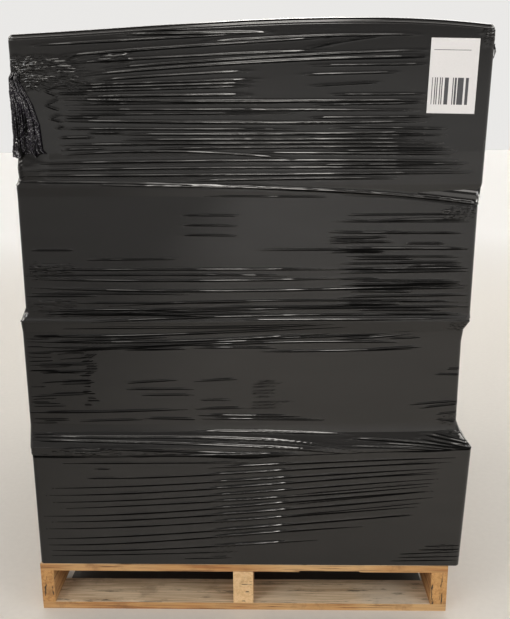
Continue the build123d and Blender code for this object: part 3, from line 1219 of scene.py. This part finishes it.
def free_share(wind, run, z, bottom, cover):
    """How free the film is to wrinkle, from 0 to 1: the next wind, the load's foot and the
    label hold it flat."""
    free = 1 - ease(z, cover - 10 * MM, cover - 2 * MM)
    if wind == FIRST_WIND:
        free = free * ease(z, bottom, bottom + 5 * MM)
    if wind == LAST_WIND:
        beside = np.abs(run[None, :] - LABEL_CENTRE[0]) - LABEL_FLAT[0]
        above = np.abs(z - LABEL_CENTRE[2]) - LABEL_FLAT[1]
        free = free * ease(np.maximum(beside, above), 0.0, LABEL_MARGIN)
    return free


def crease_shade_depth(relief, z):
    """How much painted shade each point gets, from 0 to 1: in the valleys beside the folds and on
    the flanks that hang over."""
    step = np.gradient(z, axis=0)
    slope = np.gradient(relief, axis=0) / step
    valley = np.gradient(slope, axis=0) / step
    return np.clip(valley * MM * 9.0 + ease(slope, 0.12, 0.8), 0.0, 1.0)


def draw_rows(count, z, *tables):
    """Rows for the mesh, picked from the fine rows so that they lie closer together where the
    film stands steep: their heights, then the same rows of the relief and of the other tables."""
    raised = tables[0]
    slope = np.abs(np.gradient(raised, axis=0) / np.gradient(z, axis=0))
    need = 1.0 + ROW_PULL * np.clip(slope, 0.0, 0.8)
    # Smoothed once up the wall and eight times along it, so that rows stay even.
    for axis in (0, *[1] * 8):
        need = (np.roll(need, 1, axis) + need + np.roll(need, -1, axis)) / 3
    reached = np.cumsum(need, axis=0) - need[0]
    reached = reached / reached[-1]
    wanted = np.linspace(0.0, 1.0, count)
    numbers = np.arange(len(z))
    picked = np.array([np.interp(wanted, column, numbers) for column in reached.T]).T
    below = np.minimum(picked.astype(int), len(z) - 2)
    share = picked - below
    columns = np.arange(z.shape[1])[None, :]
    return [
        table[below, columns] * (1 - share) + table[below + 1, columns] * share
        for table in (z, *tables)
    ]


def film_wind(form, wind, finish):
    """One wind of film round the load, a closed thin shell."""
    outline = Outline(WIND_COLUMNS, WIND_END_DENSITY)
    run, girth = form.run(outline, WINDS[wind].middle)
    bottom, cover, top = wind_limits(form, outline, run, girth, wind)
    swing = WINDS[wind].lean * run_swing(run, girth)
    tall = (top - bottom).mean()

    def heights(count):
        v = np.linspace(0.0, 1.0, count)[:, None]
        return bottom + (top - bottom) * v + swing * np.sin(math.pi * v) ** 0.7

    def stand(z):
        """How far the wind's edges stand off the smooth form."""
        lip = 0.0 if wind == FIRST_WIND else LIP
        tuck = TUCK * ease(z, cover - TUCK_EASE, cover)
        return lip * (1 - ease(z, bottom, bottom + LIP_EASE)) - tuck

    z = heights(int(tall / FINE_ROW_HEIGHT) + 1)
    relief = Relief(run, girth, z)
    add_front_folds(relief, wind)
    add_front_patches(relief, wind)
    if wind == LAST_WIND:
        add_rolled_edge(relief)
    wrinkle_other_sides(relief, wind, bottom.mean() + 8 * MM, top.mean() - 12 * MM)
    free = free_share(wind, run, z, bottom, cover)
    raised = relief.total() * free
    # Painted shade: in the valleys, on overhanging flanks, and along the line at each fold's foot
    crease = np.maximum(crease_shade_depth(raised, z) * 0.7, relief.lines * free)
    if wind == FIRST_WIND:
        # Painted shadow on the film just under the next wind's edge, reaching further down in some
        # places than in others.
        shadow_reach = EDGE_SHADOW_REACH * (0.35 + smooth_noise(run * 9, 0 * run, 51))
        crease = np.maximum(crease, ease(z, cover - shadow_reach, cover - 0.6 * shadow_reach))

    rows, columns = int(tall / ROW_HEIGHT) + 1, len(run)
    z, raised, crease = draw_rows(rows, z, raised, crease)
    outer = form.places(outline, z, stand(z) + raised)
    z = heights(INNER_ROWS)
    inner = form.places(outline, z, stand(z) - FILM_WALL)
    first_inner = rows * columns
    last_inner = first_inner + (INNER_ROWS - 1) * columns
    faces = np.concatenate([
        grid_faces(rows, columns, wrap=True),
        grid_faces(INNER_ROWS, columns, first=first_inner, wrap=True, flip=True),
        strip_faces(ring(first_inner, columns), ring(0, columns)),
        strip_faces(ring(first_inner - columns, columns), ring(last_inner, columns)),
    ])
    vertices = np.concatenate([outer.reshape(-1, 3), inner.reshape(-1, 3)])
    crease = np.append(crease.ravel(), np.zeros(INNER_ROWS * columns))
    return film_piece(f"film_wind_{wind}", vertices, faces, finish, crease)


# Film lid

def lid_folds(rng, low, high):
    """Start, end, width, height and bow of the folds over the lid."""
    folds = []
    for cx, cy in ((low[0], low[1]), (high[0], low[1]), (high[0], high[1]), (low[0], high[1])):
        for i in range(LID_FAN_FOLDS):
            angle = math.radians(6 + 78 * (i + rng.uniform(0.2, 0.8)) / LID_FAN_FOLDS)
            reach = rng.uniform(0.12, 0.5)
            start = (cx * 0.985, cy * 0.985)
            end = (
                cx - math.copysign(reach, cx) * math.cos(angle),
                cy - math.copysign(reach, cy) * math.sin(angle),
            )
            width = rng.uniform(6.5, 10.0) * MM
            folds.append((start, end, width, 0.24 * width, rng.uniform(-0.02, 0.02)))
    # The film goes over the top from side to side, so most of its folds run that way.
    for _ in range(LID_LONG_FOLDS):
        span = rng.uniform(0.25, 0.9)
        x = rng.uniform(low[0], high[0]) * 0.6
        y = rng.uniform(low[1], high[1]) * 0.92
        turn = rng.uniform(-0.07, 0.07)
        dx, dy = math.cos(turn) * span / 2, math.sin(turn) * span / 2
        width = rng.uniform(7.0, 11.0) * MM
        tall = rng.uniform(0.08, 0.2) * width
        folds.append(((x - dx, y - dy), (x + dx, y + dy), width, tall, rng.uniform(-0.02, 0.02)))
    return folds


def lid_fold(x, y, start, end, width, tall, bow):
    """Heights over the lid of one soft fold, which bows by a share of its length and fades out
    at its ends."""
    (x0, y0), (x1, y1) = start, end
    length = math.hypot(x1 - x0, y1 - y0)
    t = ((x - x0) * (x1 - x0) + (y - y0) * (y1 - y0)) / length ** 2
    off = ((x - x0) * (y1 - y0) - (y - y0) * (x1 - x0)) / length
    off = off + bow * length * np.sin(math.pi * np.clip(t, 0, 1))
    grown = tall * np.clip(np.minimum(t * 3, 1 - t) / 0.5, 0, 1) ** 0.8
    grown = grown * (0.6 + 0.4 * smooth_noise(t * 7 + x0 * 50, 0 * t + y0 * 50, 92))
    return grown * np.exp(-(off / width) ** 2)


def lid_relief(x, y, low, high):
    """Heights that the folded over film adds to the lid: soft folds that fan out from the
    corners, long ones from side to side, the edges of overlapping film, and hollows over the
    gaps between cartons."""
    raised = np.zeros_like(x)
    for fold in lid_folds(np.random.default_rng(90), low, high):
        raised = np.maximum(raised, lid_fold(x, y, *fold))
    for edge, slope in LID_OVERLAPS:
        raised = raised + LID_STEP * ease(y - edge - slope * x, -5 * MM, 5 * MM)
    broad = 1.2 * MM * (smooth_noise(x * 9 + 20, y * 14 + 20, 91) - 0.5)
    gaps = 1.6 * MM * np.exp(-((x - GAP_ALONG) / (22 * MM)) ** 2) - broad
    for row in GAPS_ACROSS:
        gaps = gaps + 1.2 * MM * np.exp(-((y - row) / (16 * MM)) ** 2)
    edge_x = np.minimum(x - low[0], high[0] - x)
    edge_y = np.minimum(y - low[1], high[1] - y)
    return (raised - gaps) * ease(np.minimum(edge_x, edge_y), 2 * MM, 30 * MM)


def lid_profile():
    """Rows of the lid's skirt and rounded edge: how far each lies over the wall's top and out of
    the wall, and how far the film has turned there."""
    shares = [1 - i / LID_SKIRT_ROWS for i in range(LID_SKIRT_ROWS)]
    turns = [math.pi / 2 * i / LID_EDGE_ROWS for i in range(LID_EDGE_ROWS + 1)]
    skirt = [(-LID_SKIRT * share, -TUCK * share, 0.0) for share in shares]
    r = LID_EDGE_RADIUS
    return skirt + [(r * math.sin(turn), r * (math.cos(turn) - 1), turn) for turn in turns]


def four_sides(border, across, deep):
    """Front, right, back and left of a ring that starts at the front left corner, each from
    left to right or from front to back."""
    border = np.concatenate([border, border[:1]])
    front, right = border[:across + 1], border[across:across + deep + 1]
    back = border[across + deep:2 * across + deep + 1][::-1]
    return front, right, back, border[2 * across + deep:][::-1]


def spanned(front, right, back, left):
    """A grid of places that spans four sides."""
    u = np.linspace(0, 1, len(front))[None, :, None]
    v = np.linspace(0, 1, len(left))[:, None, None]
    corners = (
        (1 - u) * (1 - v) * front[0] + u * (1 - v) * front[-1]
        + (1 - u) * v * back[0] + u * v * back[-1]
    )
    return (1 - v) * front + v * back + (1 - u) * left[:, None] + u * right[:, None] - corners


def film_lid(form, finish):
    """The film over the top of the load, folded down a little way under the last wind."""
    outline = Outline(LID_COLUMNS, LID_END_DENSITY)
    across, deep = outline.steps
    columns = len(outline.side)
    (x,), (y,) = form.grid(outline, np.full((1, columns), LID_LEVEL))
    wall_top = form.crown(x) - LID_EDGE_RADIUS

    def skin(inset):
        """Places of the skirt and rounded edge, set in from the smooth form."""
        rows = []
        for rise, out, turn in lid_profile():
            z = wall_top + rise - inset * math.sin(turn)
            rows.append(outline.stand_out(x, y, z, out - inset * math.cos(turn)))
        return np.array(rows)

    outer = skin(0.0)
    rows = len(outer)
    border = outer[-1]
    lid = spanned(*four_sides(border, across, deep))
    smooth = form.crown(lid[..., 0])
    low, high = border[:, :2].min(axis=0), border[:, :2].max(axis=0)
    raised = lid_relief(lid[..., 0], lid[..., 1], low, high)
    lid[..., 2] = smooth + raised
    under = lid.copy()
    under[..., 2] = smooth - FILM_WALL + np.minimum(raised, 0.0)

    # The lid's grid shares its border with the edge's last row, and adds the points inside it.
    skin_size = rows * columns + (deep - 1) * (across - 1)
    numbers = np.zeros((deep + 1, across + 1), dtype=int)
    rim = (rows - 1) * columns + np.arange(columns)
    numbers[0, :], numbers[:, -1], numbers[-1, :], numbers[:, 0] = four_sides(rim, across, deep)
    numbers[1:-1, 1:-1] = np.arange(rows * columns, skin_size).reshape(deep - 1, -1)
    lid_corners = [numbers[:-1, :-1], numbers[:-1, 1:], numbers[1:, 1:], numbers[1:, :-1]]
    lid_faces = np.stack(lid_corners, axis=-1).reshape(-1, 4)
    outer_faces = np.concatenate([grid_faces(rows, columns, wrap=True), lid_faces])
    faces = np.concatenate([
        outer_faces,
        outer_faces[:, ::-1] + skin_size,
        strip_faces(ring(skin_size, columns), ring(0, columns)),
    ])
    layers = (outer, lid[1:-1, 1:-1], skin(FILM_WALL), under[1:-1, 1:-1])
    vertices = np.concatenate([layer.reshape(-1, 3) for layer in layers])
    # Painted shade in the lid's creases
    depth = crease_shade_depth(raised, np.linspace(0, deep * 6 * MM, deep + 1)[:, None] + 0 * raised)
    crease = np.zeros(2 * skin_size)
    crease[rows * columns:skin_size] = depth[1:-1, 1:-1].ravel()
    return film_piece("film_lid", vertices, faces, finish, crease)


# Film ends

def unit_grid(rows, columns):
    """Shares from 0 to 1 across the columns and down the rows of a grid."""
    return np.linspace(0, 1, columns)[None, :], np.linspace(0, 1, rows)[:, None]


def gathered_tail(form, finish):
    """The film's end, gathered to a neck at the top left corner and fanned out below it."""
    u, v = unit_grid(*TAIL_GRID)
    ragged = 11 * MM * (smooth_noise(u * 11, 0 * u, 61) - 0.5) + 10 * MM * u
    z = TAIL_TOP - (TAIL_TOP - TAIL_FOOT - ragged) * v
    right = np.interp(z, *zip(*TAIL_RIGHT)) + 4 * MM * ease(v, 0.93, 1.0)
    left = TAIL_LEFT + 16 * MM * (1 - v) ** 2
    along = left + (right - left) * u

    # Pleats of uneven width run down from the neck, split by finer ones and crushed across.
    wander = u + 0.10 * (smooth_noise(u * 4, v * 3, 62) - 0.5)
    broad = 1 - np.abs(2 * smooth_noise(wander * 15, v * 1.6, 63) - 1)
    thin = 1 - np.abs(2 * smooth_noise(wander * 37, v * 3.2, 65) - 1)
    crushed = ridged_noise(wander * 15, v * 20, 64)
    small = ridged_noise(u * 30, v * 46, 66)
    depth = 3.2 * MM + 2.2 * MM * v
    relief = depth * broad ** 1.5 + 2.0 * MM * thin + 1.4 * MM * crushed + 1.1 * MM * small
    flare = 4.5 * MM * ease(v, 0.72, 1.0) * (1 - ease(u, 0.2, 0.7))
    curl = 6 * MM * ease(v, 0.93, 1.0) * ease(u, 0.75, 0.95)
    fade = ease(u, 0.0, 0.06) * (1 - ease(u, 0.97, 1.0)) * ease(v, 0.0, 0.07)
    out = 1.4 * MM + (relief + flare + curl) * fade
    # Painted shade between the pleats, darkest where they are low
    crease = np.clip(1.9 - broad * 0.8 - thin * 0.6 - small * 0.9, 0.0, 1.0)
    return flap_piece("film_gathered_tail", form.around_corner(along, z, out), crease, finish)


def loose_end(form, finish):
    """A short loose flap of film that stands out at the top right edge."""
    u, v = unit_grid(*END_GRID)
    z = END_TOP - END_HEIGHT * v - 5 * MM * u * v
    along = END_PLACE + END_WIDTH * u * (1 - 0.4 * v)
    curl = ridged_noise(u * 3, v * 5, 71)
    out = 1.2 * MM + 5.0 * MM * np.sin(math.pi * v) * ease(u, 0.0, 0.6) + 1.5 * MM * curl
    points = form.around_corner(along, z, out, right_side=True)
    # Painted shade on the flap where it does not curl out
    return flap_piece("film_loose_end", points, 0.5 * (1 - curl), finish)


# Nails

def nail_places():
    """Two nails where each board crosses each stringer, on the boards' outer faces."""
    places = []
    stringers = [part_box(name) for name in NODES if name.startswith("stringer")]
    for name in NODES:
        if not name.startswith(("deck_board", "bottom_board")):
            continue
        low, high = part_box(name)
        on_top = name.startswith("deck")
        face = high[2] if on_top else low[2]
        for stringer_low, stringer_high in stringers:
            middle = (stringer_low[0] + stringer_high[0]) / 2
            for share, sway in NAIL_PAIR:
                x = middle + sway * (stringer_high[0] - stringer_low[0])
                places.append((x, low[1] + (high[1] - low[1]) * share, face, on_top))
    return places


def nail_tree(finish):
    """Geometry Nodes that put a nail head on every point."""
    group = bpy.data.node_groups.new("nail_heads", "GeometryNodeTree")
    group.interface.new_socket("Geometry", in_out="INPUT", socket_type="NodeSocketGeometry")
    radius = group.interface.new_socket("Radius", in_out="INPUT", socket_type="NodeSocketFloat")
    depth = group.interface.new_socket("Depth", in_out="INPUT", socket_type="NodeSocketFloat")
    group.interface.new_socket("Geometry", in_out="OUTPUT", socket_type="NodeSocketGeometry")
    tree = Tree(group)
    points, wide, thick = (
        tree.node("NodeGroupInput", output=name) for name in ("Geometry", "Radius", "Depth")
    )
    head = tree.node(
        "GeometryNodeMeshCylinder", {}, {"Vertices": NAIL_SIDES, "Radius": wide, "Depth": thick}
    )
    heads = tree.node("GeometryNodeInstanceOnPoints", {}, {"Points": points, "Instance": head})
    heads = tree.node("GeometryNodeRealizeInstances", {}, {"Geometry": heads})
    heads = tree.node("GeometryNodeSetMaterial", {}, {"Geometry": heads, "Material": finish})
    tree.node("NodeGroupOutput", {}, {"Geometry": heads})
    return group, radius.identifier, depth.identifier


def pallet_nails(finish):
    """The heads of the nails that hold the boards, flush with the wood."""
    points = []
    for x, y, z, on_top in nail_places():
        half = NAIL_THICK / 2
        points.append((x, y, z - half + NAIL_PROUD if on_top else z + half - NAIL_FLUSH))
    base = bpy.data.meshes.new("nail_points")
    base.from_pydata(points, [], [])
    holder = bpy.data.objects.new("nail_points", base)
    bpy.context.scene.collection.objects.link(holder)
    group, radius, depth = nail_tree(finish)
    heads = holder.modifiers.new("heads", "NODES")
    heads.node_group = group
    heads[radius] = NAIL_HEAD
    heads[depth] = NAIL_THICK
    evaluated = holder.evaluated_get(bpy.context.evaluated_depsgraph_get())
    mesh = bpy.data.meshes.new_from_object(evaluated)
    bpy.data.objects.remove(holder)
    nails = bpy.data.objects.new("pallet_nails", mesh)
    bpy.context.scene.collection.objects.link(nails)
    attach(nails, "root")
    return nails


# Studio

def floor_finish(tree):
    """Plain pale floor that grows paler away from the load, up to the tone of the room, with
    painted shade deep under the pallet; its colour in reflections is painted darker to the left."""
    speckle = tree.noise(tree.place(), 60.0, detail=4)
    x, y, _ = tree.split(tree.place())
    far = (x * x + y * y).ramp(3.0, 45.0)
    # Painted shade on the floor deep under the pallet
    under = (x * x < SHADE_UNDER_HALF_SIZE[0] ** 2) * (y * y < SHADE_UNDER_HALF_SIZE[1] ** 2)
    near_tone = tree.mix(under, tree.mix(speckle, *FLOOR), FLOOR_SHADE_UNDER)
    tone = tree.mix(far, near_tone, FLOOR_FAR)
    # Painted darker reflection: to glossy rays only, the floor's colour darkens towards the left
    glossy_ray = tree.node("ShaderNodeLightPath", output=3)
    left = (0 - x).ramp(0.1, 1.2) * 0.72 * glossy_ray
    return {
        "Base Color": tree.mix(left, tone, DARK),
        "Roughness": 0.6,
    }


def area_lamp(name, place, target, size, power):
    """A soft rectangular lamp that points at a target."""
    light = bpy.data.lights.new(name, "AREA")
    light.shape = "RECTANGLE"
    light.size, light.size_y = size
    light.energy = power
    lamp = bpy.data.objects.new(name, light)
    lamp.location = place
    lamp.rotation_euler = (Vector(target) - Vector(place)).to_track_quat("-Z", "Y").to_euler()
    bpy.context.scene.collection.objects.link(lamp)


def studio_floor():
    """The plain pale floor that the load stands on."""
    far = FLOOR_REACH
    corners = [(-far, -far, 0), (far, -far, 0), (far, far, 0), (-far, far, 0)]
    floor = make_object("floor", corners, [(0, 1, 2, 3)], material("floor", floor_finish))


def studio_room():
    """A plain pale backdrop, and the room that only the gloss shows: pale at eye level and dark
    above."""
    world = bpy.data.worlds.new("studio")
    bpy.context.scene.world = world
    world.use_nodes = True
    tree = Tree(world.node_tree)
    direction = tree.node("ShaderNodeTexCoord", output=0)
    across, ahead, up = tree.split(direction)
    room = tree.node("ShaderNodeValToRGB", {"stops": ROOM}, {"Fac": up})
    room = tree.mix((0 - across).ramp(0.0, 0.3) * 0.1, room, DARK)
    straight = 1 - (across * across * ahead * ahead).ramp(0.0022, 0.011)
    lights = sum(
        up.ramp(*fade_in) * (1 - up.ramp(*fade_out)) * (bright + straight * brighter)
        for fade_in, fade_out, bright, brighter in LIGHT_ROWS
    )
    glossy_ray = tree.node("ShaderNodeLightPath", output=3)
    shown = tree.mix(glossy_ray, BACKDROP, room)
    background = tree.node("ShaderNodeBackground", {}, {"Color": shown, "Strength": 1.0})
    shine = tree.node(
        "ShaderNodeBackground", {}, {"Color": LAMP_WHITE, "Strength": lights * glossy_ray}
    )
    both = tree.node("ShaderNodeAddShader", {}, {0: background, 1: shine})
    tree.node("ShaderNodeOutputWorld", {}, {"Surface": both})


def studio_camera():
    """The camera at the photograph's place and angle."""
    data = bpy.data.cameras.new("camera")
    data.lens = CAMERA_LENS
    data.sensor_width = CAMERA_SENSOR
    camera = bpy.data.objects.new("camera", data)
    turn = Matrix.Rotation(math.radians(CAMERA_LEFT), 4, "Z")
    turn @= Matrix.Rotation(math.radians(90 - CAMERA_DOWN), 4, "X")
    turn @= Matrix.Rotation(math.radians(CAMERA_ROLL), 4, "Z")
    camera.matrix_world = Matrix.Translation(CAMERA_PLACE) @ turn
    bpy.context.scene.collection.objects.link(camera)
    bpy.context.scene.camera = camera


def studio():
    """Pale floor, backdrop, soft lamps and camera."""
    bpy.context.scene.view_settings.view_transform = "Standard"
    studio_floor()
    studio_room()
    for name, (place, target_height, size, power) in LAMPS.items():
        area_lamp(name, place, (0, 0, target_height), size, power)
    studio_camera()


def finish_packed_parts():
    """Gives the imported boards, cartons and label their materials."""
    card = material("kraft_board", card_finish)
    paper = material("label_paper", label_finish)
    seed = 0
    for name, node in NODES.items():
        if name.startswith("cartons"):
            finish = card
        elif name == "label":
            finish = paper
        elif name == "stretch_film":
            continue
        else:
            seed += 1
            along = 1 if name in STRINGER_WOODS else 0
            end_tones = STRINGER_WOODS.get(name, PALE_WOOD)
            cracks = LEVEL_CRACKS if end_tones is PALE_WOOD else UPRIGHT_CRACKS
            finish = material(f"wood_{name}", board_finish(along, seed, end_tones, cracks))
        node.data.materials.clear()
        node.data.materials.append(finish)


def main():
    finish_packed_parts()
    film = material("stretch_film", film_finish)
    form = FilmForm(NODES["stretch_film"])
    for wind in WINDS:
        film_wind(form, wind, film)
    film_lid(form, film)
    gathered_tail(form, material("bunched_film", lambda tree: film_finish(tree, BUNCHED_TINTS)))
    loose_end(form, film)
    pallet_nails(material("nail_steel", nail_finish))
    studio()


main()
